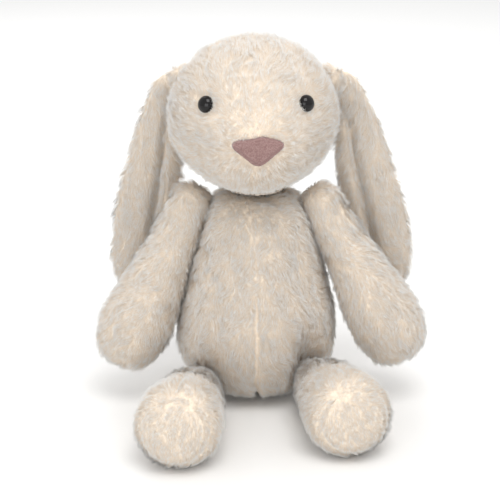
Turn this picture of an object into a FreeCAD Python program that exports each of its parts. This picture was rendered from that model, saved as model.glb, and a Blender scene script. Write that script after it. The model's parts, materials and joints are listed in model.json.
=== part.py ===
# Sitting plush bunny with lop ears. Millimetres, +Z up, the face looks along -Y.
# The origin is the middle of the flat seat. Left and right are the bunny's own, so its left side is +X.
# Each body part is a stuffing core inside sewn fur panels; the limbs, head and ears pivot at ball seams.
import FreeCAD
import Part
import os
from math import cos, pi, radians, sin, sqrt

from FreeCAD import Placement, Rotation, Vector

PANEL = 3.5                 # thickness of a fur panel: backing cloth and the dense lower pile
SEAM_GAP = 0.5              # free gap between bodies that turn against each other

# radius and height of places on the pear-shaped body, from the edge of the seat to the neck
TORSO_PROFILE = [(28.5, 4.5), (39.0, 11.5), (46.5, 22.0), (50.0, 38.0), (47.5, 61.0), (41.5, 85.0), (36.5, 107.0),
                 (32.0, 122.0)]
SEAT_RADIUS = 16.0
NECK_TOP = 133.0
NECK_RADIUS = 19.0

NECK_PIVOT = Vector(0, 0, 126.0)
NECK_BALL = 20.0            # radius of the domed neck roll inside the head's hollow
HEAD_TURN = 3.0             # degrees that the head is turned towards the bunny's left
HEAD_SHIFT = Vector(-2.4, 0, 0)     # the head sits a little off the body's middle
HEAD_CENTRE = Vector(0, -6, 184)
HEAD_RADIUS = 47.5          # of its round outline seen from the side
HEAD_HALF_WIDTH = 52.0
MUZZLE_CENTRE = Vector(0, -34, 172)
MUZZLE_HALF_WIDTH = 35.0
MUZZLE_RADIUS = 29.5
GUSSET_HALF_WIDTH = 17.0

EYE_SPREAD = 31.0           # from the middle of the face to the middle of an eye
EYE_HEIGHT = 198.0
EYE_RADIUS = 4.9
EYE_SINK = 0.6              # depth of the dome's middle under the surface of the face
EYE_BACK = 2.0              # depth of the dome's flat back
SHANK_RADIUS = 2.2
SHANK_LENGTH = 15.0
RIB_COUNT = 5
RIB_PITCH = 1.5
RIB_WIDTH = 0.5
RIB_PROUD = 0.35
WASHER_RADIUS = 8.0
WASHER_THICKNESS = 1.4
WASHER_BORE = 2.22
WASHER_DEPTH = 6.3          # depth of the washer's back under the surface of the face

# right half of the nose's outline, from the middle of its top edge down to its tip
NOSE_OUTLINE = [(0.0, 180.5), (9.6, 180.5), (15.5, 177.3), (9.6, 171.5), (0.0, 165.0)]
NOSE_PROUD = 1.6            # how far the nose stands out of the muzzle
NOSE_DEPTH = 5.0
NOSE_BACK = -44.0           # the nose lies wholly in front of this

EAR_BALL = 9.5              # rounded root of an ear, seated in the side of the head
EAR_THICKNESS = 10.0
EAR_FULL_WIDTH = 30.0       # where the ear is narrower than this, it is thinner too
EAR_FULLNESS = 0.72         # how near its edges a section still has this share of its thickness
# places down the middle of the left ear, and its width there
EAR_SPINE = [(45, 7, 203), (51, 9, 201), (57, 13, 189), (61.5, 18, 168), (65, 22, 145),
             (69.5, 26, 118), (74, 28, 88), (76.5, 28, 64), (77, 27.5, 51.5)]
EAR_WIDTHS = [16, 22, 26, 32, 38, 43, 43, 32, 12]
EAR_LEAN = {"left": 4.0, "right": 0.5}          # degrees that each ear swings outward at rest
EAR_RANGE = (0.0, 100.0)

ARM_PIVOT = Vector(41, -3, 126)
ARM_BALL = 13.0
ARM_STATIONS = [(14.5, 28), (18.0, 54), (22.0, 81), (21.0, 97), (15.0, 109)]
ARM_LENGTH = 113.5
ARM_SPLAY = {"left": 28.8, "right": 24.6}       # degrees outward from straight down
ARM_FORWARD = 9.5                               # degrees forward from straight down
ARM_RANGE = (-10.0, 110.0)
ARM_AXIS = Vector(-1, 0, 0)                     # a positive turn swings the arm forward and up

LEG_PIVOT = {"left": Vector(35, -22, 16.5), "right": Vector(35.5, -36, 16.5)}
LEG_SPLAY = {"left": 13.0, "right": 7.0}        # degrees outward from straight ahead
LEG_RISE = 6.0                                  # degrees that the thigh climbs towards the thicker foot
LEG_BALL = 11.0
LEG_STATIONS = [(15.5, 20), (20.0, 42), (22.0, 60), (24.2, 78), (24.2, 90), (17.5, 100.5)]
LEG_LENGTH = 104.0
LEG_RANGE = (-20.0, 40.0)
SWEEP_STEPS = 6
SWEEP_ROOM = 1.4            # free room round a swinging limb where it leaves the body
SOLE_RADIUS = 20.0
SOLE_START = 84.0           # distance along the leg where the sole panel's edge can begin
POUCH_ALONG_LEG = 82.0
LEG_POUCH = (15.0, 12.0)    # radius and half thickness of the pellet pouch in a foot
SEAT_POUCH = (27.0, 14.0)
SEAT_POUCH_CENTRE = Vector(0, 12, 21)
POUCH_WALL = 0.8

TAIL_CENTRE = Vector(0, 50, 27)
TAIL_RADIUS = 15.0

BIG = 400.0                 # larger than the whole bunny, for splitting blocks
UP = Vector(0, 0, 1)
OUT = "parts"


def save(name, shape):
    """Write one sub-part, keeping only its solids."""
    solids = shape.Solids
    body = solids[0] if len(solids) == 1 else Part.makeCompound(solids)
    body.exportStep(f"{OUT}/{name}.step")
    print(f"{name:26s} solids {len(solids)}  volume {body.Volume / 1000:8.2f} cm3  valid {body.isValid()}")


def side_sign(side):
    return 1 if side == "left" else -1


def block(x0, x1, y0, y1, z0, z1):
    return Part.makeBox(x1 - x0, y1 - y0, z1 - z0, Vector(x0, y0, z0))


def spline(points, start=None, end=None):
    curve = Part.BSplineCurve()
    if start is None:
        curve.interpolate(points)
    else:
        curve.interpolate(Points=points, InitialTangent=start, FinalTangent=end)
    return curve.toShape()


def revolved(edges, angle=360):
    """Turn a closed outline in the XZ plane about the Z axis."""
    face = Part.Face(Part.Wire(Part.__sortEdges__(edges)))
    return face.revolve(Vector(0, 0, 0), UP, angle)


def spheroid(radius, half_height):
    """A ball in two halves, its middle at the origin, round about Z and longer or shorter along it."""
    rim, pole = Vector(radius, 0, 0), Vector(0, 0, half_height)
    if radius >= half_height:
        ellipse, start = Part.Ellipse(rim, pole, Vector(0, 0, 0)), -pi / 2
    else:
        ellipse, start = Part.Ellipse(pole, rim, Vector(0, 0, 0)), -pi
    side = Part.ArcOfEllipse(ellipse, start, start + pi).toBSpline().toShape()
    axis = Part.LineSegment(-pole, pole).toShape()
    half = revolved([side, axis], 180)
    return half.fuse(turned_about(half, Vector(0, 0, 0), UP, 180))


def inset(points, depth):
    """The inner points of an outline in the XZ plane, each moved in square to the line between its neighbours."""
    moved = []
    for before, here, after in zip(points, points[1:], points[2:]):
        along = (after - before).normalize()
        moved.append(here - Vector(along.z, 0, -along.x) * depth)
    return moved


def limb(ball, stations, length, shrink=0.0):
    """A round limb along +Z: a ball at the origin that swells into the limb and closes in a soft end."""
    r = ball - shrink
    diagonal = r / sqrt(2)
    tip = length - shrink
    outline = [Vector(ball, 0, 0), *(Vector(radius, 0, along) for radius, along in stations), Vector(0, 0, length)]
    side = spline([Vector(r, 0, 0), *inset(outline, shrink), Vector(0, 0, tip)], Vector(0, 0, 1), Vector(-1, 0, 0))
    cap = Part.Arc(Vector(0, 0, -r), Vector(diagonal, 0, -diagonal), Vector(r, 0, 0)).toShape()
    axis = Part.LineSegment(Vector(0, 0, tip), Vector(0, 0, -r)).toShape()
    return revolved([cap, side, axis])


def placed(shape, pivot, direction):
    copy = shape.copy()
    copy.Placement = Placement(pivot, Rotation(UP, direction))
    return copy


def steps_over(limits):
    low, high = limits
    return [low + step * (high - low) / (SWEEP_STEPS - 1) for step in range(SWEEP_STEPS)]


def swing_hollows(pivot, direction, axis, ball, station, limits):
    """The room that a limb's round end and its first stretch need as the limb swings."""
    radius, along = station
    stretch = Part.makeCone(ball + SWEEP_ROOM, radius + SWEEP_ROOM, along)
    stretch = placed(stretch, pivot, direction)
    hollows = [turned_about(stretch, pivot, axis, angle) for angle in steps_over(limits)]
    return [Part.makeSphere(ball + SEAM_GAP, pivot), *hollows]


def mirrored(shape):
    return shape.mirror(Vector(0, 0, 0), Vector(1, 0, 0))


def turned_about(shape, pivot, axis, angle):
    copy = shape.copy()
    copy.rotate(pivot, axis, angle)
    return copy


# ---------------------------------------------------------------- legs

def leg_pivot(side):
    base = LEG_PIVOT[side]
    return Vector(side_sign(side) * base.x, base.y, base.z)


def leg_direction(side):
    splay, rise = radians(LEG_SPLAY[side]), radians(LEG_RISE)
    return Vector(side_sign(side) * sin(splay) * cos(rise), -cos(splay) * cos(rise), sin(rise))


def leg_axis(side):
    """Hinge axis of a hip; a positive turn lifts the foot."""
    return leg_direction(side).cross(UP).normalize()


def leg_solid(side, shrink=0.0):
    return placed(limb(LEG_BALL, LEG_STATIONS, LEG_LENGTH, shrink), leg_pivot(side), leg_direction(side))


def make_leg(side):
    pivot, direction = leg_pivot(side), leg_direction(side)
    outer = leg_solid(side)
    core = leg_solid(side, PANEL)
    cover = outer.cut(core)
    sole_tool = placed(Part.makeCylinder(SOLE_RADIUS, BIG, Vector(0, 0, SOLE_START)), pivot, direction)
    save(f"leg_{side}_sole", cover.common(sole_tool))
    tube = cover.cut(sole_tool)
    half = Part.makeBox(BIG, 2 * BIG, 2 * BIG, Vector(0, -BIG, -BIG))
    half = turned_about(half, Vector(0, 0, 0), UP, side_sign(side) * LEG_SPLAY[side])
    half.translate(pivot)
    plus, minus = tube.common(half), tube.cut(half)
    outward, inward = (plus, minus) if side == "left" else (minus, plus)
    save(f"leg_{side}_outer", outward)
    save(f"leg_{side}_inner", inward)
    middle = pivot + direction * POUCH_ALONG_LEG
    pouch = placed(spheroid(*LEG_POUCH), middle, direction)
    pellets = placed(spheroid(*(half - POUCH_WALL for half in LEG_POUCH)), middle, direction)
    save(f"leg_{side}_stuffing", core.cut(pouch))
    save(f"leg_{side}_pellet_pouch", pouch.cut(pellets))
    save(f"leg_{side}_pellets", pellets)


# ---------------------------------------------------------------- arms

def arm_pivot(side):
    return Vector(side_sign(side) * ARM_PIVOT.x, ARM_PIVOT.y, ARM_PIVOT.z)


def arm_direction(side):
    splay, forward = radians(ARM_SPLAY[side]), radians(ARM_FORWARD)
    return Vector(side_sign(side) * sin(splay), -sin(forward), -cos(splay) * cos(forward)).normalize()


def arm_solid(side, shrink=0.0):
    return placed(limb(ARM_BALL, ARM_STATIONS, ARM_LENGTH, shrink), arm_pivot(side), arm_direction(side))


def make_arm(side):
    outer = arm_solid(side)
    core = arm_solid(side, PANEL)
    cover = outer.cut(core)
    # the seam lies in the plane of the arm's own line and the front-to-back direction
    half = Part.makeBox(BIG, 2 * BIG, 2 * BIG, Vector(0, -BIG, -BIG))
    half = turned_about(half, Vector(0, 0, 0), Vector(0, 1, 0), -side_sign(side) * ARM_SPLAY[side])
    half.translate(arm_pivot(side))
    plus, minus = cover.common(half), cover.cut(half)
    outward, inward = (plus, minus) if side == "left" else (minus, plus)
    save(f"arm_{side}_outer", outward)
    save(f"arm_{side}_inner", inward)
    save(f"arm_{side}_stuffing", core)


# ---------------------------------------------------------------- body

def torso_solid(shrink=0.0):
    profile = [(SEAT_RADIUS, 0), *TORSO_PROFILE, (NECK_RADIUS, NECK_TOP)]
    base, top = shrink, NECK_TOP - shrink
    start = Vector(SEAT_RADIUS - shrink, 0, base)
    end = Vector(NECK_RADIUS - shrink, 0, top)
    side = spline([start, *inset([Vector(radius, 0, height) for radius, height in profile], shrink), end])
    floor = Part.LineSegment(Vector(0, 0, base), start).toShape()
    roof = Part.LineSegment(end, Vector(0, 0, top)).toShape()
    axis = Part.LineSegment(Vector(0, 0, top), Vector(0, 0, base)).toShape()
    return revolved([floor, side, roof, axis])


def joint_hollows():
    """Rounded hollows in the body for the four limbs."""
    hollows = []
    for side in ("left", "right"):
        hollows += swing_hollows(arm_pivot(side), arm_direction(side), ARM_AXIS, ARM_BALL, ARM_STATIONS[0], ARM_RANGE)
        hollows += swing_hollows(leg_pivot(side), leg_direction(side), leg_axis(side), LEG_BALL, LEG_STATIONS[1],
                                 LEG_RANGE)
    return hollows


def make_tail():
    """A round tail sewn to the back, open where it meets the body."""
    body = torso_solid()
    ball, core = (placed(Part.makeSphere(radius), TAIL_CENTRE, Vector(0, 1, 0)).cut(body)
                  for radius in (TAIL_RADIUS, TAIL_RADIUS - PANEL))
    save("tail_cover", ball.cut(core))
    save("tail_stuffing", core)


def make_torso():
    outer, inner = torso_solid(), torso_solid(PANEL)
    for hollow in joint_hollows():
        outer, inner = outer.cut(hollow), inner.cut(hollow)
    cover = outer.cut(inner)
    front = block(-BIG, BIG, -BIG, 0, -BIG, BIG)
    left = block(0, BIG, -BIG, BIG, -BIG, BIG)
    for name, half in (("front", cover.common(front)), ("back", cover.cut(front))):
        save(f"torso_{name}_left", half.common(left))
        save(f"torso_{name}_right", half.cut(left))
    pouch = placed(spheroid(*SEAT_POUCH), SEAT_POUCH_CENTRE, UP)
    pellets = placed(spheroid(*(half - POUCH_WALL for half in SEAT_POUCH)), SEAT_POUCH_CENTRE, UP)
    save("torso_stuffing", inner.cut(pouch))
    save("seat_pellet_pouch", pouch.cut(pellets))
    save("seat_pellets", pellets)


def make_neck():
    """The gathered neck roll: a dome that stands on the body and turns inside the head."""
    dome = Part.makeSphere(NECK_BALL, NECK_PIVOT)
    save("neck_roll", dome.common(block(-BIG, BIG, -BIG, BIG, NECK_TOP + SEAM_GAP, BIG)))


# ---------------------------------------------------------------- head

def set_on_neck(shape):
    """Turn a piece of the straight-looking head to where the head looks, and shift it into place."""
    turned = turned_about(shape, Vector(0, 0, 0), UP, HEAD_TURN)
    turned.translate(HEAD_SHIFT)
    return turned


def muzzle_solid(shrink=0.0):
    return placed(spheroid(MUZZLE_RADIUS - shrink, MUZZLE_HALF_WIDTH - shrink), MUZZLE_CENTRE, Vector(1, 0, 0))


def head_solid(shrink=0.0):
    skull = placed(spheroid(HEAD_RADIUS - shrink, HEAD_HALF_WIDTH - shrink), HEAD_CENTRE, Vector(1, 0, 0))
    return skull.fuse(muzzle_solid(shrink))


def skull_point(x, z):
    """The place on the skull's front at this width and height, and the way its surface faces."""
    ratio, rise = HEAD_RADIUS / HEAD_HALF_WIDTH, z - HEAD_CENTRE.z
    y = HEAD_CENTRE.y - sqrt(HEAD_RADIUS ** 2 - rise ** 2 - (x * ratio) ** 2)
    normal = Vector(x * ratio ** 2, y - HEAD_CENTRE.y, rise)
    return Vector(x, y, z), normal.normalize()


def eye_parts(side):
    """The glossy dome with its ribbed shank, and the washer that locks it inside the cover."""
    place, outward = skull_point(side_sign(side) * EYE_SPREAD, EYE_HEIGHT)
    dome = Part.makeSphere(EYE_RADIUS, Vector(0, 0, -EYE_SINK))
    dome = dome.common(block(-BIG, BIG, -BIG, BIG, -EYE_BACK, BIG))
    shank = Part.makeCylinder(SHANK_RADIUS, SHANK_LENGTH, Vector(0, 0, -SHANK_LENGTH))
    eye = dome.fuse(shank)
    for rib in range(1, RIB_COUNT + 1):
        height = -SHANK_LENGTH + rib * RIB_PITCH
        eye = eye.fuse(Part.makeCylinder(SHANK_RADIUS + RIB_PROUD, RIB_WIDTH, Vector(0, 0, height)))
    washer = Part.makeCylinder(WASHER_RADIUS, WASHER_THICKNESS, Vector(0, 0, -WASHER_DEPTH))
    washer = washer.cut(Part.makeCylinder(WASHER_BORE, BIG, Vector(0, 0, -BIG / 2)))
    return placed(eye, place, outward), placed(washer, place, outward)


def nose_solid():
    """A rounded V with a gently domed front, set into the front of the muzzle."""
    half = [Vector(x, 0, z) for x, z in NOSE_OUTLINE]
    other = [Vector(-point.x, 0, point.z) for point in reversed(half[1:-1])]
    outline = Part.BSplineCurve()
    outline.interpolate(half + other, True)
    prism = Part.Face(Part.Wire(outline.toShape())).extrude(Vector(0, -BIG, 0))
    shell = muzzle_solid(-NOSE_PROUD)
    hollow = muzzle_solid(NOSE_DEPTH - NOSE_PROUD)
    front = block(-BIG, BIG, -BIG, NOSE_BACK, -BIG, BIG)
    return prism.common(shell).cut(hollow).common(front)


def make_head():
    nose = set_on_neck(nose_solid())
    eyes = {side: [set_on_neck(piece) for piece in eye_parts(side)] for side in ("left", "right")}
    room = NECK_BALL + SEAM_GAP
    hollows = [placed(spheroid(room, room), NECK_PIVOT, UP), nose]
    hollows += [Part.makeSphere(EAR_BALL + SEAM_GAP, ear_root(side)) for side in ("left", "right")]
    hollows += [eye for eye, _ in eyes.values()]
    outer, inner = set_on_neck(head_solid()), set_on_neck(head_solid(PANEL))
    cover = outer.cut(inner).cut(hollows)
    core = inner.cut(hollows + [washer for _, washer in eyes.values()])
    strip = set_on_neck(block(-GUSSET_HALF_WIDTH, GUSSET_HALF_WIDTH, -BIG, BIG, -BIG, BIG))
    left = set_on_neck(block(0, BIG, -BIG, BIG, -BIG, BIG))
    sides = cover.cut(strip)
    save("head_gusset", cover.common(strip))
    save("head_side_left", sides.common(left))
    save("head_side_right", sides.cut(left))
    save("head_stuffing", core)
    save("nose", nose)
    for side, (eye, washer) in eyes.items():
        save(f"eye_{side}", eye)
        save(f"eye_washer_{side}", washer)


# ---------------------------------------------------------------- ears

def ear_root(side):
    x, y, z = EAR_SPINE[0]
    return Vector(side_sign(side) * x, y, z)


def ear_section(index, bulge):
    """Half of an ear's section across its spine: a flat chord and a bulged edge, behind (+) or in front (-)."""
    here = Vector(*EAR_SPINE[index])
    before = Vector(*EAR_SPINE[max(index - 1, 0)])
    after = Vector(*EAR_SPINE[min(index + 1, len(EAR_SPINE) - 1)])
    along = (after - before).normalize()
    behind = Vector(0, 1, 0)
    behind = (behind - along * behind.dot(along)).normalize()
    across = along.cross(behind).normalize()
    half = EAR_WIDTHS[index] / 2
    thick = EAR_THICKNESS / 2 * min(1.0, EAR_WIDTHS[index] / EAR_FULL_WIDTH)
    a, b = here - across * half, here + across * half
    middle = behind * (thick * bulge)
    inward, lower = across * (half * EAR_FULLNESS), middle * EAR_FULLNESS
    arc = spline([a, here - inward + lower, here + middle, here + inward + lower, b])
    return Part.Wire([arc, Part.LineSegment(b, a).toShape()])


def ear_axis(side):
    """Hinge axis of an ear; a positive turn lifts it outward."""
    return Vector(0, -side_sign(side), 0)


def make_ear(side):
    root, axis = ear_root(side), ear_axis(side)
    ball = Part.makeSphere(EAR_BALL, root)
    head = set_on_neck(head_solid(-SEAM_GAP))
    for name, bulge in (("back", 1), ("lining", -1)):
        blade = Part.makeLoft([ear_section(index, bulge) for index in range(len(EAR_SPINE))], True, False)
        blade = blade if side == "left" else mirrored(blade)
        blade = turned_about(blade, root, axis, EAR_LEAN[side])
        for angle in steps_over(EAR_RANGE):
            blade = blade.cut(turned_about(head, root, axis, -angle))
        save(f"ear_{side}_{name}", blade.fuse(ball) if name == "back" else blade.cut(ball))


os.makedirs(OUT, exist_ok=True)
make_torso()
make_tail()
make_neck()
make_head()
for each_side in ("left", "right"):
    make_ear(each_side)
    make_arm(each_side)
    make_leg(each_side)
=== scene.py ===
"""Looks of the sitting plush bunny: padded bodies with seams, and a pile of strands on every panel."""
import json
import math

import bmesh
import bpy
import numpy as np
from mathutils import Matrix, Vector
from mathutils.bvhtree import BVHTree
from mathutils.kdtree import KDTree

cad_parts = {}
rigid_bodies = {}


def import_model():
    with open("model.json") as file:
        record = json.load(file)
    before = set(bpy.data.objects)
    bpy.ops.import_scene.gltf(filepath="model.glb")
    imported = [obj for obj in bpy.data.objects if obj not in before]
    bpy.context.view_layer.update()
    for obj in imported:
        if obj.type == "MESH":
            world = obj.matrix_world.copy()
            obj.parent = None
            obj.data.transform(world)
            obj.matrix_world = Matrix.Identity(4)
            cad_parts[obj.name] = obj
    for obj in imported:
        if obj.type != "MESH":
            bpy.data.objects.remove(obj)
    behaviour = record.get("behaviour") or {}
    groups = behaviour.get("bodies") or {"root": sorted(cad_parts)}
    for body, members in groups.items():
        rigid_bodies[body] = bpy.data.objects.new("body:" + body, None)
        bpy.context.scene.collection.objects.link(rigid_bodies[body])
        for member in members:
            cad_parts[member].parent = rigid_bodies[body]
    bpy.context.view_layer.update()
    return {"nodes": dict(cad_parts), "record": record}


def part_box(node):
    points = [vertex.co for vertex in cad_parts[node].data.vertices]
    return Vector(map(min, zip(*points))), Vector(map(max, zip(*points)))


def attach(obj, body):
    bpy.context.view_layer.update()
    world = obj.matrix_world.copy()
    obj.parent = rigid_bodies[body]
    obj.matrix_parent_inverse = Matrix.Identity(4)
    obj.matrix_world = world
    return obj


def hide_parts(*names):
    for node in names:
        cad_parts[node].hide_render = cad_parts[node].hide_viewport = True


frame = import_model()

MM = 0.001
SIDES = ("left", "right")
RNG = np.random.default_rng(20)
JOINTS = {joint["child"]: joint for joint in frame["record"]["behaviour"]["joints"]}

# ---------------------------------------------------------------- camera and light

VIEW_TARGET = Vector((-4.0, 0.0, 93.0)) * MM
VIEW_DISTANCE = 1.0
VIEW_ELEVATION = math.radians(18.0)
VIEW_LENS = 112.5


def make_camera():
    camera = bpy.data.objects.new("camera", bpy.data.cameras.new("camera"))
    bpy.context.collection.objects.link(camera)
    camera.data.sensor_width, camera.data.lens = 36.0, VIEW_LENS
    back = Vector((0, -math.cos(VIEW_ELEVATION), math.sin(VIEW_ELEVATION)))
    camera.location = VIEW_TARGET + back * VIEW_DISTANCE
    camera.rotation_euler = (math.pi / 2 - VIEW_ELEVATION, 0, 0)
    bpy.context.scene.camera = camera


def area_light(name, place, power, size, colour):
    light = bpy.data.objects.new(name, bpy.data.lights.new(name, "AREA"))
    bpy.context.collection.objects.link(light)
    light.data.energy, light.data.size, light.data.color = power, size, colour
    light.location = place
    light.rotation_euler = (VIEW_TARGET - Vector(place)).to_track_quat("-Z", "Y").to_euler()


def make_light():
    area_light("key", (0.16, -0.62, 1.36), 8.5, 0.8, (1.0, 0.985, 0.965))
    area_light("fill", (-0.35, -1.6, 0.30), 9.5, 1.2, (0.98, 0.99, 1.0))
    area_light("back", (-0.2, 1.1, 1.1), 6.0, 1.0, (1.0, 0.99, 0.98))
    world = bpy.data.worlds.new("studio")
    bpy.context.scene.world = world
    world.use_nodes = True
    sky = world.node_tree.nodes["Background"]
    sky.inputs["Color"].default_value, sky.inputs["Strength"].default_value = (0.99, 0.995, 1.0, 1), 0.84
    bpy.context.scene.view_settings.view_transform = "Standard"


# ---------------------------------------------------------------- materials

CREAM = (0.89, 0.865, 0.828)


def tinted(colour, red=1.0, green=1.0, blue=1.0):
    return tuple(min(channel * gain, 0.97) for channel, gain in zip(colour, (red, green, blue)))


def surface(name, colour, roughness, sheen=0.0, specular=0.3, coat=0.0):
    material = bpy.data.materials.new(name)
    material.use_nodes = True
    shader = material.node_tree.nodes["Principled BSDF"]
    shader.inputs["Base Color"].default_value = (*colour, 1)
    shader.inputs["Roughness"].default_value = roughness
    shader.inputs["Specular IOR Level"].default_value = specular
    shader.inputs["Sheen Weight"].default_value = sheen
    shader.inputs["Sheen Roughness"].default_value = 0.45
    shader.inputs["Coat Weight"].default_value = coat
    return material


def mottled(material, dark, light, scale, detail=4.0, bump=0.0, bump_scale=1.0):
    """Give a material a fine two-colour noise, and a bump of the same grain."""
    nodes, links = material.node_tree.nodes, material.node_tree.links
    shader = nodes["Principled BSDF"]
    place = nodes.new("ShaderNodeTexCoord")
    noise = nodes.new("ShaderNodeTexNoise")
    noise.inputs["Scale"].default_value, noise.inputs["Detail"].default_value = scale, detail
    ramp = nodes.new("ShaderNodeValToRGB")
    ramp.color_ramp.elements[0].position, ramp.color_ramp.elements[0].color = 0.35, (*dark, 1)
    ramp.color_ramp.elements[1].position, ramp.color_ramp.elements[1].color = 0.65, (*light, 1)
    links.new(place.outputs["Object"], noise.inputs["Vector"])
    links.new(noise.outputs["Fac"], ramp.inputs["Fac"])
    links.new(ramp.outputs["Color"], shader.inputs["Base Color"])
    if bump:
        relief = nodes.new("ShaderNodeBump")
        relief.inputs["Strength"].default_value = bump
        relief.inputs["Distance"].default_value = bump_scale * MM
        links.new(noise.outputs["Fac"], relief.inputs["Height"])
        links.new(relief.outputs["Normal"], shader.inputs["Normal"])
    return material


def make_materials():
    # The darker, warmer root tone is painted shade: it stands for the shade and warm bounce deep in the pile,
    # on the lower half of each strand and on the backing under them.
    shaded_root_tone, pale = tinted(CREAM, 1.0, 0.89, 0.77), tinted(CREAM, 1.02, 1.025, 1.03)
    return {
        "pile_root_painted_shade": surface("pile_root_painted_shade", shaded_root_tone, 0.95, sheen=0.15, specular=0.1),
        "pile": surface("pile", CREAM, 0.85, sheen=0.30, specular=0.18),
        "pile_pale": surface("pile_pale", pale, 0.82, sheen=0.35, specular=0.2),
        "pile_warm": surface("pile_warm", tinted(CREAM, 1.0, 0.97, 0.935), 0.88, sheen=0.25, specular=0.15),
        # The backing takes the same painted root shade, with a fine random mottle and bump.
        "backing": mottled(surface("backing", shaded_root_tone, 0.95), tinted(shaded_root_tone, 0.9, 0.88, 0.85), shaded_root_tone, 900.0,
                           bump=0.4),
        "nose": mottled(surface("nose_felt", (0.30, 0.18, 0.17), 0.95, sheen=0.4, specular=0.1),
                        (0.235, 0.135, 0.125), (0.40, 0.27, 0.255), 1500.0, bump=0.5, bump_scale=0.3),
        "flock": surface("nose_flock", (0.33, 0.20, 0.19), 0.95, sheen=0.3, specular=0.1),
        "flock_pale": surface("nose_flock_pale", (0.46, 0.33, 0.31), 0.95, sheen=0.3, specular=0.1),
        "eye": surface("eye_gloss", (0.004, 0.003, 0.003), 0.05, specular=0.35),
        "floor": surface("floor", (0.90, 0.897, 0.89), 0.9, specular=0.1),
        "fibre": mottled(surface("fibre", (0.8, 0.8, 0.79), 0.95, sheen=0.3),
                         (0.68, 0.68, 0.67), (0.86, 0.86, 0.85), 260.0, bump=0.8),
        "cloth": mottled(surface("pouch_cloth", (0.7, 0.69, 0.66), 0.9),
                         (0.62, 0.61, 0.58), (0.76, 0.75, 0.72), 1800.0, bump=0.5),
        "beans": mottled(surface("beans", (0.72, 0.73, 0.74), 0.35),
                         (0.6, 0.61, 0.63), (0.84, 0.85, 0.86), 700.0, bump=0.9, bump_scale=1.5),
        "washer": mottled(surface("washer", (0.78, 0.78, 0.76), 0.45),
                          (0.74, 0.74, 0.72), (0.8, 0.8, 0.78), 300.0),
    }


# ---------------------------------------------------------------- mesh helpers

def tree_of(piece):
    mesh = piece.data
    return BVHTree.FromPolygons([v.co for v in mesh.vertices], [p.vertices for p in mesh.polygons])


def add_object(name, mesh):
    piece = bpy.data.objects.new(name, mesh)
    bpy.context.collection.objects.link(piece)
    return piece


def joined_nodes(names):
    """One mesh that holds the given CAD nodes' meshes."""
    form = bmesh.new()
    for name in names:
        form.from_mesh(frame["nodes"][name].data)
    mesh = bpy.data.meshes.new("joined")
    form.to_mesh(mesh)
    form.free()
    return mesh


def apply_modifiers(piece):
    graph = bpy.context.evaluated_depsgraph_get()
    mesh = bpy.data.meshes.new_from_object(piece.evaluated_get(graph))
    piece.modifiers.clear()
    piece.data = mesh


def keep_largest(mesh):
    """Drop every island but the largest, such as the inner wall that remeshing leaves."""
    form = bmesh.new()
    form.from_mesh(mesh)
    left, islands = set(form.verts), []
    while left:
        island, edge = set(), [left.pop()]
        while edge:
            vertex = edge.pop()
            island.add(vertex)
            for link in vertex.link_edges:
                other = link.other_vert(vertex)
                if other in left:
                    left.discard(other)
                    edge.append(other)
        islands.append(island)
    largest = max(islands, key=len)
    bmesh.ops.delete(form, geom=[v for v in form.verts if v not in largest], context="VERTS")
    form.to_mesh(mesh)
    form.free()


def coordinates(mesh):
    flat = np.empty(len(mesh.vertices) * 3)
    mesh.vertices.foreach_get("co", flat)
    return flat.reshape(-1, 3)


def normals_of(mesh):
    flat = np.empty(len(mesh.vertices) * 3)
    mesh.vertices.foreach_get("normal", flat)
    return flat.reshape(-1, 3)


def set_coordinates(mesh, places):
    mesh.vertices.foreach_set("co", places.ravel())
    mesh.update()


def smoothed(mesh, rounds, factor=0.5):
    """Even out a mesh by moving each point towards the middle of its neighbours."""
    edges = np.empty(len(mesh.edges) * 2, dtype=int)
    mesh.edges.foreach_get("vertices", edges)
    a, b = edges.reshape(-1, 2).T
    count = np.bincount(a, minlength=len(mesh.vertices)) + np.bincount(b, minlength=len(mesh.vertices))
    places = coordinates(mesh)
    for _ in range(rounds):
        total = np.zeros_like(places)
        np.add.at(total, a, places[b])
        np.add.at(total, b, places[a])
        places += factor * (total / count[:, None] - places)
    set_coordinates(mesh, places)


def wave_noise(places, size, seed):
    """A smooth pattern of waves about this size, from -1 to 1."""
    waves = np.random.default_rng(seed)
    total = np.zeros(len(places))
    for _ in range(7):
        heading = waves.normal(size=3)
        heading *= waves.uniform(0.6, 1.5) * 2 * math.pi / size / np.linalg.norm(heading)
        total += np.sin(places @ heading + waves.uniform(0, 2 * math.pi))
    return total / 4.0


CLOTH_PRESSURE = 3.0
CLOTH_FRAMES = 20


def inflated(piece, cap):
    """Let the cloth of a padded body swell, each point by no more than the cap."""
    before = coordinates(piece.data)
    cloth = piece.modifiers.new("Cloth", "CLOTH")
    settings = cloth.settings
    settings.quality, settings.mass = 6, 0.2
    settings.use_pressure, settings.uniform_pressure_force = True, CLOTH_PRESSURE
    settings.tension_stiffness = settings.compression_stiffness = 12.0
    settings.bending_stiffness = 2.0
    settings.effector_weights.gravity = 0.0
    cloth.collision_settings.use_collision = False
    cloth.point_cache.frame_start, cloth.point_cache.frame_end = 1, CLOTH_FRAMES
    for step in range(1, CLOTH_FRAMES + 1):
        bpy.context.scene.frame_set(step)
    apply_modifiers(piece)
    bpy.context.scene.frame_set(1)
    move = coordinates(piece.data) - before
    reach = np.linalg.norm(move, axis=1, keepdims=True)
    move *= np.minimum(1.0, cap / np.maximum(reach, 1e-9))
    set_coordinates(piece.data, before + move)


def rounded(mesh, rounds):
    """Smooth a mesh strongly, then grow it back, so that only its creases fill in."""
    before = coordinates(mesh)
    smoothed(mesh, rounds)
    lost = ((before - coordinates(mesh)) * normals_of(mesh)).sum(axis=1)
    set_coordinates(mesh, coordinates(mesh) + normals_of(mesh) * np.median(lost))


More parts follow.
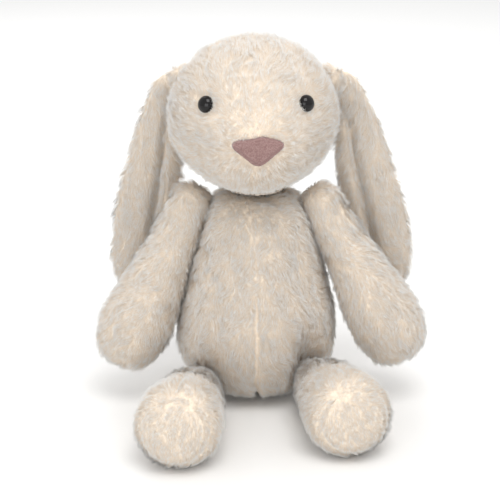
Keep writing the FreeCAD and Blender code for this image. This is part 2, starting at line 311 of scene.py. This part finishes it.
def padded_body(name, body, nodes, voxel, rounds, sink, swell=0.0):
    """The stuffed form of one body, in millimetres: the CAD panels as one closed cloth of this voxel size,
    smoothed, inflated by up to the swell, then sunk to where the backing lies."""
    piece = add_object(name, joined_nodes(nodes))
    remesh = piece.modifiers.new("Remesh", "REMESH")
    remesh.mode, remesh.voxel_size = "VOXEL", voxel * MM
    apply_modifiers(piece)
    keep_largest(piece.data)
    rounded(piece.data, rounds)
    if swell:
        inflated(piece, swell * MM)
    fine = piece.modifiers.new("Fine", "SUBSURF")
    fine.levels = fine.render_levels = 1
    apply_modifiers(piece)
    set_coordinates(piece.data, coordinates(piece.data) - normals_of(piece.data) * sink * MM)
    piece.data.shade_smooth()
    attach(piece, body)
    return piece


# ---------------------------------------------------------------- pile

def triangles_of(mesh):
    mesh.calc_loop_triangles()
    corners = np.empty(len(mesh.loop_triangles) * 3, dtype=int)
    mesh.loop_triangles.foreach_get("vertices", corners)
    return corners.reshape(-1, 3)


def scattered(mesh, per_mm2):
    """Random places on a mesh, with the smooth normal at each."""
    places, normals, corners = coordinates(mesh), normals_of(mesh), triangles_of(mesh)
    a, b, c = (places[corners[:, k]] for k in range(3))
    area = np.linalg.norm(np.cross(b - a, c - a), axis=1) / 2
    count = int(area.sum() / MM ** 2 * per_mm2)
    pick = np.searchsorted(np.cumsum(area) / area.sum(), RNG.random(count)).clip(max=len(area) - 1)
    u, v = RNG.random(count), RNG.random(count)
    flip = u + v > 1
    u[flip], v[flip] = 1 - u[flip], 1 - v[flip]
    shares = np.stack([1 - u - v, u, v], axis=1)
    roots = sum(shares[:, k, None] * places[corners[pick, k]] for k in range(3))
    facing = sum(shares[:, k, None] * normals[corners[pick, k]] for k in range(3))
    return roots, facing / np.linalg.norm(facing, axis=1, keepdims=True)


def unit(vectors):
    return vectors / np.maximum(np.linalg.norm(vectors, axis=1, keepdims=True), 1e-9)


def along_surface(vectors, normals):
    flat = vectors - (vectors * normals).sum(axis=1, keepdims=True) * normals
    return unit(flat)


def clumped(roots, points, size, pull):
    """Draw the points of each strand towards those of the strand that leads its tuft."""
    leaders = RNG.choice(len(roots), max(1, int(len(roots) / size)), replace=False)
    tree = KDTree(len(leaders))
    for index, leader in enumerate(leaders):
        tree.insert(roots[leader], index)
    tree.balance()
    nearest = leaders[np.array([tree.find(root)[1] for root in roots])]
    offset = (roots - roots[nearest]) * 0.25
    return [point + share * (point[nearest] + offset - point) for point, share in zip(points, pull)]


STRAND_SIDES = 3


def strand_mesh(name, root, middle, tip, width, normals, tints, blend):
    """Closed tapered strands, each a ring at the root, a ring half way and a point. The blend is how far they
    are shaded like the body under them."""
    count = len(root)
    first, second = unit(middle - root), unit(tip - middle)
    side = unit(np.cross(first, normals))
    lift = np.cross(side, first)
    rings, shading = [], []
    for centre, heading, radius in ((root, first, width / 2), (middle, second, width * 0.24)):
        for k in range(STRAND_SIDES):
            turn = 2 * math.pi * k / STRAND_SIDES + math.pi / 2
            out = math.cos(turn) * side + math.sin(turn) * lift
            rings.append(centre + out * radius[:, None])
            shading.append(unit(out * (1 - blend) + normals * blend))
    rings.append(tip)
    shading.append(unit(normals * blend + second * 0.2))
    points = np.stack(rings, axis=1).reshape(-1, 3)
    looks = np.stack(shading, axis=1).reshape(-1, 3)
    quads = [(0, 3, 4, 1), (1, 4, 5, 2), (2, 5, 3, 0)]
    thirds = [(3, 6, 4), (4, 6, 5), (5, 6, 3), (0, 1, 2)]
    base = np.arange(count)[:, None] * (2 * STRAND_SIDES + 1)
    pattern = np.array([corner for face in quads + thirds for corner in face])
    loops = (base + pattern[None, :]).ravel()
    sizes = np.tile([4, 4, 4, 3, 3, 3, 3], count)
    starts = np.concatenate([[0], np.cumsum(sizes)[:-1]])
    mesh = bpy.data.meshes.new(name)
    mesh.vertices.add(len(points))
    mesh.vertices.foreach_set("co", points.ravel())
    mesh.loops.add(len(loops))
    mesh.loops.foreach_set("vertex_index", loops)
    mesh.polygons.add(len(sizes))
    mesh.polygons.foreach_set("loop_start", starts)
    # The lower half of each strand and its root cap take the first material slot, the upper half the strand's
    # tint. On the pile the first slot is the darker, warmer root tone, painted shade deep in the pile.
    slots = np.zeros((count, 7), dtype=int)
    slots[:, 3:6] = tints[:, None]
    mesh.polygons.foreach_set("material_index", slots.ravel())
    mesh.update(calc_edges=True)
    mesh.shade_smooth()
    mesh.normals_split_custom_set_from_vertices(looks)
    return mesh


STRANDS_PER_MM2 = 1.7
STRAND_WIDTH = 0.33 * MM
STRAND_BLEND = 0.74


class Coat:
    """How the pile of one body grows: its length in millimetres, the way it lies, its lean from upright
    in radians, the strands in a tuft, and how far it swirls and ruffles."""

    def __init__(self, length, flow, lean=0.85, tuft=18, swirl=0.6, ruffle=0.75, bald=None):
        self.length, self.flow, self.lean, self.tuft = length, flow, lean, tuft
        self.swirl, self.ruffle, self.bald = swirl, ruffle, bald
        self.panels, self.parting = (), 0.0


def panel_distances(roots, panels):
    """For each root its panel, and the way to and distance of the nearest other panel."""
    trees = [tree_of(frame["nodes"][name]) for name in panels]
    near = np.empty((len(trees), len(roots), 3))
    gap = np.empty((len(trees), len(roots)))
    for t, tree in enumerate(trees):
        for k, root in enumerate(roots):
            place, _, _, distance = tree.find_nearest(root)
            near[t, k], gap[t, k] = place, distance
    order = np.argsort(gap, axis=0)
    rows = np.arange(len(roots))
    if len(trees) == 1:
        return order[0], np.zeros((len(roots), 3)), np.full(len(roots), 1.0)
    other = order[1]
    return order[0], roots - near[other, rows], gap[other, rows]


def grow(body, form, coat, blockers):
    """Grow the pile of one body on its padded form, one piece per CAD panel."""
    roots, normals = scattered(form.data, STRANDS_PER_MM2)
    keep = np.ones(len(roots), dtype=bool)
    for centre, radius, room, tree in blockers:
        for k in np.flatnonzero(np.linalg.norm(roots - centre, axis=1) < radius):
            hit = tree.ray_cast(Vector(roots[k]), Vector(normals[k]), room)
            keep[k] = hit[0] is None
    if coat.bald is not None:
        keep &= ~coat.bald(roots)
    roots, normals = roots[keep], normals[keep]
    owner, away, seam = panel_distances(roots, coat.panels)

    flow = along_surface(coat.flow(roots, normals), normals)
    twist = coat.swirl * wave_noise(roots, 0.040, 3) + coat.ruffle * wave_noise(roots, 0.013, 4)
    twist += RNG.normal(0, 0.22, len(roots))
    across = np.cross(normals, flow)
    flow = flow * np.cos(twist)[:, None] + across * np.sin(twist)[:, None]
    strength = coat.parting(roots) if callable(coat.parting) else coat.parting
    parting = (strength * np.exp(-(seam / 0.0020) ** 2))[:, None]
    flow = along_surface(flow + 1.5 * parting * unit(away), normals)

    length = coat.length(roots) * MM * RNG.uniform(0.72, 1.12, len(roots))
    length *= 1 + 0.14 * wave_noise(roots, 0.011, 5)
    length *= 1 - 0.5 * parting[:, 0]
    lean = coat.lean(roots) if callable(coat.lean) else coat.lean
    lean = lean + 0.25 * wave_noise(roots, 0.008, 6) + RNG.normal(0, 0.10, len(roots))
    lean = np.clip(lean, 0.25, 1.35)[:, None]
    bend = np.clip(lean + 0.35, 0.3, 1.5)
    root = roots - normals * 0.3 * MM
    middle = root + length[:, None] * 0.52 * (normals * np.cos(lean) + flow * np.sin(lean))
    tip = middle + length[:, None] * 0.48 * (normals * np.cos(bend) + flow * np.sin(bend))
    middle, tip = clumped(roots, [middle, tip], coat.tuft, (0.18, 0.5))
    for points in (middle, tip):
        points[:, 2] = np.maximum(points[:, 2], 0.25 * MM)
    width = STRAND_WIDTH * RNG.uniform(0.75, 1.25, len(roots))
    tints = RNG.choice([1, 2, 3], len(roots), p=[0.5, 0.3, 0.2])

    for index, panel in enumerate(coat.panels):
        mine = owner == index
        mesh = strand_mesh(f"{panel}_plush", root[mine], middle[mine], tip[mine], width[mine], normals[mine],
                           tints[mine], STRAND_BLEND)
        # The first slot, for the lower half of each strand, is painted shade deep in the pile; the other
        # three are random tints.
        for name in ("pile_root_painted_shade", "pile", "pile_pale", "pile_warm"):
            mesh.materials.append(LOOKS[name])
        piece = add_object(f"{panel}_plush", mesh)
        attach(piece, body)
        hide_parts(panel)


# ---------------------------------------------------------------- places read from the frame

def middle_of(node):
    low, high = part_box(node)
    return (np.array(low) + np.array(high)) / 2


def pivot_of(body):
    return np.array(JOINTS[body]["pos_m"])


def box_of(nodes):
    lows, highs = zip(*(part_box(node) for node in nodes))
    return np.array(lows).min(axis=0), np.array(highs).max(axis=0)


PANELS = {
    "torso": ("torso_front_left", "torso_front_right", "torso_back_left", "torso_back_right"),
    "head": ("head_gusset", "head_side_left", "head_side_right"),
    "neck": ("neck_roll",),
}
for side in SIDES:
    PANELS[f"arm_{side}"] = (f"arm_{side}_outer", f"arm_{side}_inner")
    PANELS[f"leg_{side}"] = (f"leg_{side}_outer", f"leg_{side}_inner", f"leg_{side}_sole")
    PANELS[f"ear_{side}"] = (f"ear_{side}_back", f"ear_{side}_lining")
STUFFED = ["torso", "head", "arm_left", "arm_right", "leg_left", "leg_right"]


def eye_place(side):
    """The front of the eye's dome and the way it faces, from the long axis of the CAD eye with its shank."""
    points = coordinates(frame["nodes"][f"eye_{side}"].data)
    middle = points.mean(axis=0)
    axis = np.linalg.eigh(np.cov((points - middle).T))[1][:, -1]
    axis = axis if axis @ (middle - middle_of("head_stuffing")) > 0 else -axis
    return middle + axis * ((points - middle) @ axis).max(), axis


EYES = {side: eye_place(side) for side in SIDES}
NOSE = middle_of("nose")
NOSE_HIGH = np.array(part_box("nose")[1])


# ---------------------------------------------------------------- shaping of the padded forms

def press(places, normals, centre, radius, depth):
    """Push the surface in round a place, like a soft thumb print."""
    reach = np.linalg.norm(places - centre, axis=1)
    return places - normals * (depth * np.exp(-(reach / radius) ** 2))[:, None]


def sculpt_head(form):
    """Sink the eye sockets into the face."""
    places, normals = coordinates(form.data), normals_of(form.data)
    for front, _ in EYES.values():
        places = press(places, normals, front, 9.5 * MM, 3.0 * MM)
    set_coordinates(form.data, places)


def fold_ear(form, side):
    """Fold an ear lengthwise: a valley down its front, and the strip next to the head turned back."""
    places = coordinates(form.data)
    low, high = places.min(axis=0), places.max(axis=0)
    levels = np.linspace(low[2], high[2], 40)
    band = np.clip(np.digitize(places[:, 2], levels) - 1, 0, len(levels) - 2)
    middle, half = np.zeros(len(levels) - 1), np.ones(len(levels) - 1)
    for index in range(len(levels) - 1):
        across = places[band == index, 0]
        if len(across):
            middle[index], half[index] = (across.min() + across.max()) / 2, (across.max() - across.min()) / 2
    heights = (levels[:-1] + levels[1:]) / 2
    outward = 1 if side == "left" else -1
    across = outward * (places[:, 0] - np.interp(places[:, 2], heights, middle))
    across /= np.interp(places[:, 2], heights, half)
    rise = (places[:, 2] - low[2]) / (high[2] - low[2])
    fade = np.clip(rise / 0.25, 0, 1) * np.clip((0.86 - rise) / 0.2, 0, 1)
    valley = 6.0 * np.exp(-((across + 0.28) / 0.2) ** 2)
    turned = 3.0 * np.clip(-0.2 - across, 0, 1)
    places[:, 1] += fade * (valley + turned) * MM
    set_coordinates(form.data, places)


def torso_parting(places):
    """The seam down the middle of the belly shows best at its lower end."""
    return 0.3 + 0.7 * np.clip((0.085 - places[:, 2]) / 0.03, 0, 1) * (places[:, 1] < -0.01)


# how strongly the seams of a body show, from 0 to 1, or a function of the place
PARTINGS = {"torso": torso_parting, "head": 0.12,
            "arm_left": 0.1, "arm_right": 0.1, "leg_left": 0.5, "leg_right": 0.5}
SEAM_DEPTH = 1.6 * MM
SEAM_FLAT = 0.8
SEAM_WIDTH = 1.3


def seam_drawn(form, panels, strength):
    """Draw the padded form in along the seams between its panels."""
    places, normals = coordinates(form.data), normals_of(form.data)
    _, _, gap = panel_distances(places, panels)
    share = strength(places) if callable(strength) else strength
    groove = np.exp(-((gap / MM - SEAM_FLAT).clip(min=0) / SEAM_WIDTH) ** 2)
    set_coordinates(form.data, places - normals * (share * SEAM_DEPTH * groove)[:, None])


# ---------------------------------------------------------------- pieces

# voxel size in millimetres and rounds of smoothing
MESHING = {"torso": (3.0, 12), "head": (3.0, 45)}
LIMB_MESHING, EAR_MESHING, TAIL_MESHING, NECK_MESHING = (2.4, 8), (1.8, 24), (2.0, 6), (1.5, 4)
# depth of the backing under the CAD surface, and how far the cloth may swell, in millimetres
BACKING_DEPTH, TAIL_BACKING_DEPTH, NECK_BACKING_DEPTH = 1.0, 2.0, 0.6
SWELL, TAIL_SWELL = 1.6, 0.6


def make_forms():
    forms = {}
    for body in STUFFED:
        nodes = [*PANELS[body], f"{body}_stuffing"]
        voxel, rounds = MESHING.get(body, LIMB_MESHING)
        forms[body] = padded_body(f"{body}_padding", body, nodes, voxel, rounds, BACKING_DEPTH, SWELL)
        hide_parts(f"{body}_stuffing")
    for side in SIDES:
        body = f"ear_{side}"
        forms[body] = padded_body(f"{body}_padding", body, PANELS[body], *EAR_MESHING, BACKING_DEPTH)
        fold_ear(forms[body], side)
    tail_nodes = ("tail_cover", "tail_stuffing")
    forms["tail"] = padded_body("tail_padding", "torso", tail_nodes, *TAIL_MESHING, TAIL_BACKING_DEPTH,
                                TAIL_SWELL)
    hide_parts("tail_stuffing")
    sculpt_head(forms["head"])
    for body in STUFFED:
        seam_drawn(forms[body], PANELS[body], PARTINGS[body])
    for form in forms.values():
        # The backing's darker, warmer tone is painted shade under the pile.
        form.data.materials.append(LOOKS["backing"])
        form.data.shade_smooth()
    return forms


def eye_distance(roots):
    return np.minimum(*(np.linalg.norm(roots - front, axis=1) for front, _ in EYES.values())) / MM


def head_length(roots):
    """Longer tufts beside and under the nose, shorter pile round the eyes."""
    to_nose = np.linalg.norm(roots - NOSE, axis=1) / MM
    beside = np.exp(-((to_nose - 19) / 7) ** 2) * (roots[:, 2] < NOSE_HIGH[2])
    length = 5.6 + 1.6 * np.clip((to_nose - 20) / 30, 0, 1) + 2.2 * beside
    return length * (0.6 + 0.4 * np.clip((eye_distance(roots) - 5) / 8, 0, 1))


def over_nose(roots):
    """How far a place lies in the short strip of face just above the nose, from 0 to 1."""
    above = np.exp(-((roots[:, 2] - NOSE_HIGH[2]) / MM / 4) ** 2) * (roots[:, 2] > NOSE_HIGH[2] - 2 * MM)
    return above * (np.abs(roots[:, 0] - NOSE[0]) < 15 * MM) * (roots[:, 1] < NOSE[1] + 12 * MM)


def head_flow(roots, normals):
    """Out from the nose on all sides, but down over its top edge."""
    return unit(roots - NOSE) + np.array([0, 0, -2.4]) * over_nose(roots)[:, None]


def head_lean(roots):
    """The pile stands up most round the nose."""
    to_nose = np.linalg.norm(roots - NOSE, axis=1) / MM
    return 0.85 - 0.3 * np.exp(-((to_nose - 18) / 8) ** 2) - 0.25 * over_nose(roots)


def leg_flow(side):
    """Along the leg, turning on the foot into rays from a whorl at its upper inner side."""
    body = f"leg_{side}"
    low, high = (np.array(corner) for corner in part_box(f"{body}_sole"))
    inner = 0.32 if side == "right" else -0.32
    whorl = np.array([(low[0] + high[0]) / 2 + inner * (high[0] - low[0]), low[1] + 0.004, high[2] + 0.001])
    along = unit((whorl - pivot_of(body))[None])[0]

    def flow(roots, normals):
        near = np.clip(1.3 - np.linalg.norm(roots - whorl, axis=1) / 0.055, 0, 1)[:, None]
        return along * (1 - near) + 1.6 * near * unit(roots - whorl)
    return flow


def ear_flow(side):
    """Down the ear, and outward from its fold."""
    low, high = box_of(PANELS[f"ear_{side}"])
    middle = (low[0] + high[0]) / 2

    def flow(roots, normals):
        spread = np.clip((roots[:, 0] - middle) / 0.012, -1, 1)
        return np.stack([0.45 * spread, np.zeros(len(roots)), -np.ones(len(roots))], axis=1)
    return flow


def steady(value):
    return lambda roots: np.full(len(roots), value)


def flow_from(place):
    return lambda roots, normals: roots - place


def flow_towards(direction):
    return lambda roots, normals: np.tile(direction, (len(roots), 1))


def leg_length(body):
    low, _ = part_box(f"{body}_sole")
    def length(roots):
        front = np.clip((low[1] + 0.020 - roots[:, 1]) / 0.015, 0, 1)
        return 6.4 - 1.6 * front
    return length


def bare_face(nose_tree):
    def bald(roots):
        bare = eye_distance(roots) < 5.0
        for k in np.flatnonzero(np.linalg.norm(roots - NOSE, axis=1) < 0.03):
            _, _, _, gap = nose_tree.find_nearest(Vector(roots[k]))
            bare[k] |= gap < 0.6 * MM
        return bare
    return bald


def make_coats(nose_tree):
    down = np.array([0.0, 0.0, -1.0])
    coats = {
        "torso": Coat(steady(7.2), flow_towards(down), ruffle=1.0),
        "head": Coat(head_length, head_flow, lean=head_lean, bald=bare_face(nose_tree)),
        "neck": Coat(steady(3.4), flow_from(pivot_of("neck")), ruffle=0.4),
    }
    for side in SIDES:
        arm, leg, ear = f"arm_{side}", f"leg_{side}", f"ear_{side}"
        low, high = box_of(PANELS[arm])
        along = (low + high) / 2 - pivot_of(arm)
        coats[arm] = Coat(steady(6.8), flow_towards(along / np.linalg.norm(along)))
        coats[leg] = Coat(leg_length(leg), leg_flow(side), ruffle=0.5, swirl=0.35)
        coats[ear] = Coat(steady(8.2), ear_flow(side), swirl=0.35, ruffle=0.5, lean=1.0, tuft=26)
    for body, coat in coats.items():
        coat.panels, coat.parting = PANELS[body], PARTINGS.get(body, 0.0)
    return coats


# the order in which the coats draw their random numbers
GROWING = ("torso", "head", "arm_left", "leg_left", "neck", "ear_left", "arm_right", "leg_right", "ear_right")
# how far from a pivot strands may be left out, and how much room in front of them they need
PIVOT_REACH, LIMB_REACH = 0.027, 0.020
PIVOT_ROOM, EAR_ROOM = 0.004, 0.0015


def grow_all(forms, nose_tree):
    """Grow every coat, and leave out the strands at a joint that would stand in the other body."""
    trees = {body: tree_of(form) for body, form in forms.items()}
    coats = make_coats(nose_tree)
    for body in GROWING:
        blockers = []
        for child, joint in JOINTS.items():
            pair = {child, joint["parent"]}
            if body in pair:
                reach = LIMB_REACH if child.startswith(("arm", "ear")) else PIVOT_REACH
                room = EAR_ROOM if child.startswith("ear") else PIVOT_ROOM
                blockers.append((pivot_of(child), reach, room, trees[(pair - {body}).pop()]))
        grow(body, forms[body], coats[body], blockers)
    tail = Coat(steady(8.5), flow_from(middle_of("tail_cover") - np.array([0, 0.02, 0])), lean=0.6)
    tail.panels = ("tail_cover",)
    grow("torso", forms["tail"], tail, [])


def make_nose():
    form = add_object("nose_felt", joined_nodes(["nose"]))
    remesh = form.modifiers.new("Remesh", "REMESH")
    remesh.mode, remesh.voxel_size = "VOXEL", 0.6 * MM
    apply_modifiers(form)
    rounded(form.data, 30)
    places, normals = coordinates(form.data), normals_of(form.data)
    top = np.clip((places[:, 2] - NOSE[2]) / (NOSE_HIGH[2] - NOSE[2]), 0, 1)
    places[:, 2] += 1.3 * MM * top * np.exp(-((places[:, 0] - NOSE[0]) / MM / 5) ** 2)
    rim = KDTree(len(places))
    for index in np.flatnonzero(normals[:, 1] > -0.45):
        rim.insert(places[index], index)
    rim.balance()
    inside = np.array([rim.find(place)[2] for place in places]) / MM
    set_coordinates(form.data, places - normals * (0.45 * MM * np.exp(-((inside - 1.5) / 0.5) ** 2))[:, None])
    form.data.shade_smooth()
    form.data.materials.append(LOOKS["nose"])
    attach(form, "head")
    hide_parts("nose")
    roots, normals = scattered(form.data, 7.0)
    front = normals[:, 1] < 0.2
    roots, normals = roots[front], normals[front]
    flow = along_surface(RNG.normal(size=roots.shape), normals)
    length = RNG.uniform(0.35, 0.8, len(roots))[:, None] * MM
    middle = roots + length * 0.5 * (normals * 0.8 + flow * 0.5)
    tip = middle + length * 0.5 * (normals * 0.5 + flow * 0.8)
    tints = RNG.choice([0, 1], len(roots), p=[0.6, 0.4])
    width = RNG.uniform(0.14, 0.24, len(roots)) * MM
    mesh = strand_mesh("nose_flock", roots - normals * 0.1 * MM, middle, tip, width, normals, tints, 0.5)
    mesh.materials.append(LOOKS["flock"])
    mesh.materials.append(LOOKS["flock_pale"])
    flock = add_object("nose_flock", mesh)
    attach(flock, "head")
    return tree_of(form)


# radius and height of the eye's outline in millimetres, from the middle of its dome to the end of its shank
EYE_OUTLINE = [(0.0, 0.0), (1.4, -0.16), (2.7, -0.62), (3.8, -1.35), (4.6, -2.2), (5.05, -3.1), (5.2, -3.9),
               (5.1, -4.6), (4.7, -5.0), (2.4, -5.1), (2.2, -5.4), (2.2, -8.0), (2.5, -8.2), (2.5, -8.6),
               (2.2, -8.8), (2.2, -11.0), (2.5, -11.2), (2.5, -11.6), (2.2, -11.8), (2.2, -14.0),
               (0.0, -14.2)]
EYE_SUNK = 2.0 * MM


def make_eye(side):
    """The glossy safety eye in the place of the CAD one: a shallow dome, a rolled edge and a ribbed shank."""
    front, outward = EYES[side]
    outline = np.array(EYE_OUTLINE) * MM
    turns = np.linspace(0, 2 * math.pi, 48, endpoint=False)
    ring = np.stack([np.cos(turns), np.sin(turns)], axis=1)
    inner = outline[1:-1]
    rings = [np.column_stack([ring * radius, np.full(len(ring), height)]) for radius, height in inner]
    points = np.concatenate([[[0, 0, outline[0, 1]]], *rings, [[0, 0, outline[-1, 1]]]])
    count, last = len(ring), len(inner) - 1

    def corner(row, k):
        return 1 + row * count + k % count

    faces = [(0, corner(0, k), corner(0, k + 1)) for k in range(count)]
    faces += [(corner(row, k), corner(row + 1, k), corner(row + 1, k + 1), corner(row, k + 1))
              for row in range(last) for k in range(count)]
    faces += [(len(points) - 1, corner(last, k + 1), corner(last, k)) for k in range(count)]
    mesh = bpy.data.meshes.new(f"eye_{side}_dome")
    mesh.from_pydata(points.tolist(), [], faces)
    turn = Vector((0, 0, 1)).rotation_difference(Vector(outward)).to_matrix().to_4x4()
    mesh.transform(Matrix.Translation(Vector(front - outward * EYE_SUNK)) @ turn)
    mesh.shade_smooth()
    mesh.materials.append(LOOKS["eye"])
    piece = add_object(f"eye_{side}_dome", mesh)
    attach(piece, "head")
    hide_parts(f"eye_{side}")


def make_neck():
    """The gathered roll under the head."""
    form = padded_body("neck_padding", "neck", PANELS["neck"], *NECK_MESHING, NECK_BACKING_DEPTH)
    places = coordinates(form.data)
    angle = np.arctan2(places[:, 1], places[:, 0])
    middle = middle_of("neck_roll")
    out = unit((places - middle) * np.array([1, 1, 0.2]))
    set_coordinates(form.data, places - out * (0.35 * MM * (1 + np.sin(26 * angle)))[:, None])
    # The backing's darker, warmer tone is painted shade under the pile.
    form.data.materials.append(LOOKS["backing"])
    return form


def dress_inner_nodes():
    looks = {"stuffing": "fibre", "pouch": "cloth", "pellets": "beans", "washer": "washer"}
    for name, node in frame["nodes"].items():
        for word, look in looks.items():
            if word in name:
                for index in range(max(1, len(node.material_slots))):
                    if not node.material_slots:
                        node.data.materials.append(LOOKS[look])
                    node.material_slots[index].material = LOOKS[look]


def make_floor():
    form = bmesh.new()
    bmesh.ops.create_grid(form, x_segments=2, y_segments=2, size=3.0)
    mesh = bpy.data.meshes.new("floor")
    form.to_mesh(mesh)
    form.free()
    mesh.materials.append(LOOKS["floor"])
    add_object("floor", mesh)


make_camera()
make_light()
LOOKS = make_materials()
FORMS = make_forms()
FORMS["neck"] = make_neck()
NOSE_TREE = make_nose()
for side in SIDES:
    make_eye(side)
grow_all(FORMS, NOSE_TREE)
dress_inner_nodes()
make_floor()
